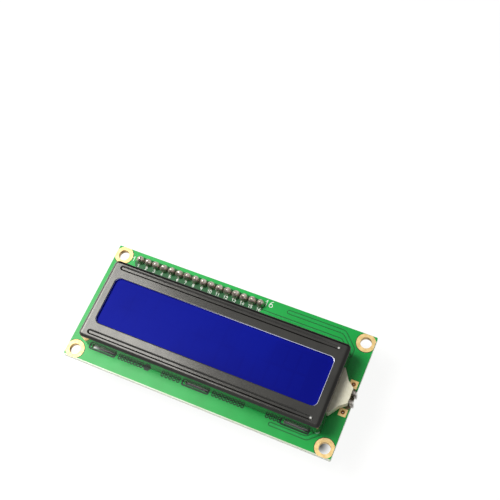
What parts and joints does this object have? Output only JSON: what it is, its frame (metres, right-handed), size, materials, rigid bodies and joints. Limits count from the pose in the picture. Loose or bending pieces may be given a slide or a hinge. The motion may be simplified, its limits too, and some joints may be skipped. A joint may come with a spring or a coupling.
{
  "type": "character lcd module",
  "caption": "Character display module: blue glass display in a folded black bezel on a green board, with a black adapter board behind on its pin row.",
  "frame": {"origin": "centre of the four mounting holes, on the main board's front face", "axes": "+Z out of the display, +Y towards the pin row, +X to the right seen from the front"},
  "size_m": [0.0804, 0.036, 0.0175],
  "materials": {
    "board_green": "smooth green solder mask over fibreglass",
    "ring_gold": "tinned gold-coloured plating",
    "plated_gold": "gold plating",
    "bare_gold": "dull gold plating",
    "bezel_black": "satin black coating on folded steel",
    "display_blue": "glossy film, deep blue with the display off",
    "clear_glass": "clear",
    "rear_film": "grey film",
    "contact_rubber": "soft striped rubber",
    "white_film": "matt white",
    "guide_white": "milky acrylic",
    "lamp_body": "milky",
    "tinned_metal": "tinned",
    "solder": "bright solder",
    "gold_pin": "gold flash",
    "header_black": "moulded black plastic",
    "epoxy_black": "smooth black epoxy",
    "resistor_black": "glazed black",
    "board_black": "smooth black solder mask over fibreglass",
    "chip_black": "fine moulded black",
    "trimmer_blue": "moulded blue plastic",
    "rotor_metal": "plated",
    "lamp_white": "milky white",
    "capacitor_tan": "tan ceramic"
  },
  "bodies": {
    "module": {"main_board": "board_green", "mounting_rings": "ring_gold", "backlight_lands": "plated_gold", "tab_lands": "bare_gold", "bare_lands": "bare_gold", "bezel": "bezel_black", "front_polarizer": "display_blue", "front_glass": "clear_glass", "rear_glass": "clear_glass", "rear_polarizer": "rear_film", "upper_contact_strip": "contact_rubber", "lower_contact_strip": "contact_rubber", "diffuser_film": "white_film", "light_guide": "guide_white", "reflector_tray": "white_film", "backlight_lamp": "lamp_body", "backlight_leads": "tinned_metal", "lead_solder": "solder", "row_pins": "gold_pin", "row_strip": "header_black", "row_front_solder": "solder", "row_rear_solder": "solder", "controller_dome": "epoxy_black", "driver_dome": "epoxy_black", "board_resistors": "resistor_black", "board_resistor_ends": "solder", "link_solder": "solder", "adapter_board": "board_black", "expander_body": "chip_black", "expander_leads": "tinned_metal", "expander_lands": "solder", "trimmer_body": "trimmer_blue", "trimmer_pins": "tinned_metal", "jumper_base": "header_black", "jumper_pins": "gold_pin", "bus_base": "header_black", "bus_pins": "gold_pin", "transistor_body": "chip_black", "transistor_leads": "tinned_metal", "power_lamp": "lamp_white", "power_lamp_ends": "solder", "chip_capacitor": "capacitor_tan", "chip_capacitor_ends": "solder", "adapter_resistors": "resistor_black", "adapter_resistor_ends": "solder", "address_lands": "solder", "adapter_joints": "solder"},
    "rotor": {"trimmer_rotor": "rotor_metal"},
    "jumper": {"jumper_cap": "header_black", "jumper_contact": "tinned_metal"}
  },
  "joints": [
    {"name": "trimmer_turn", "type": "hinge", "parent": "module", "child": "rotor", "pos_m": [-0.0243, 0.0093, -0.0105], "axis": [0, 0, 1], "range_deg": [-120, 120]},
    {"name": "jumper_pull", "type": "slide", "parent": "module", "child": "jumper", "axis": [1, 0, 0], "range_m": [0, 0.005]}
  ]
}
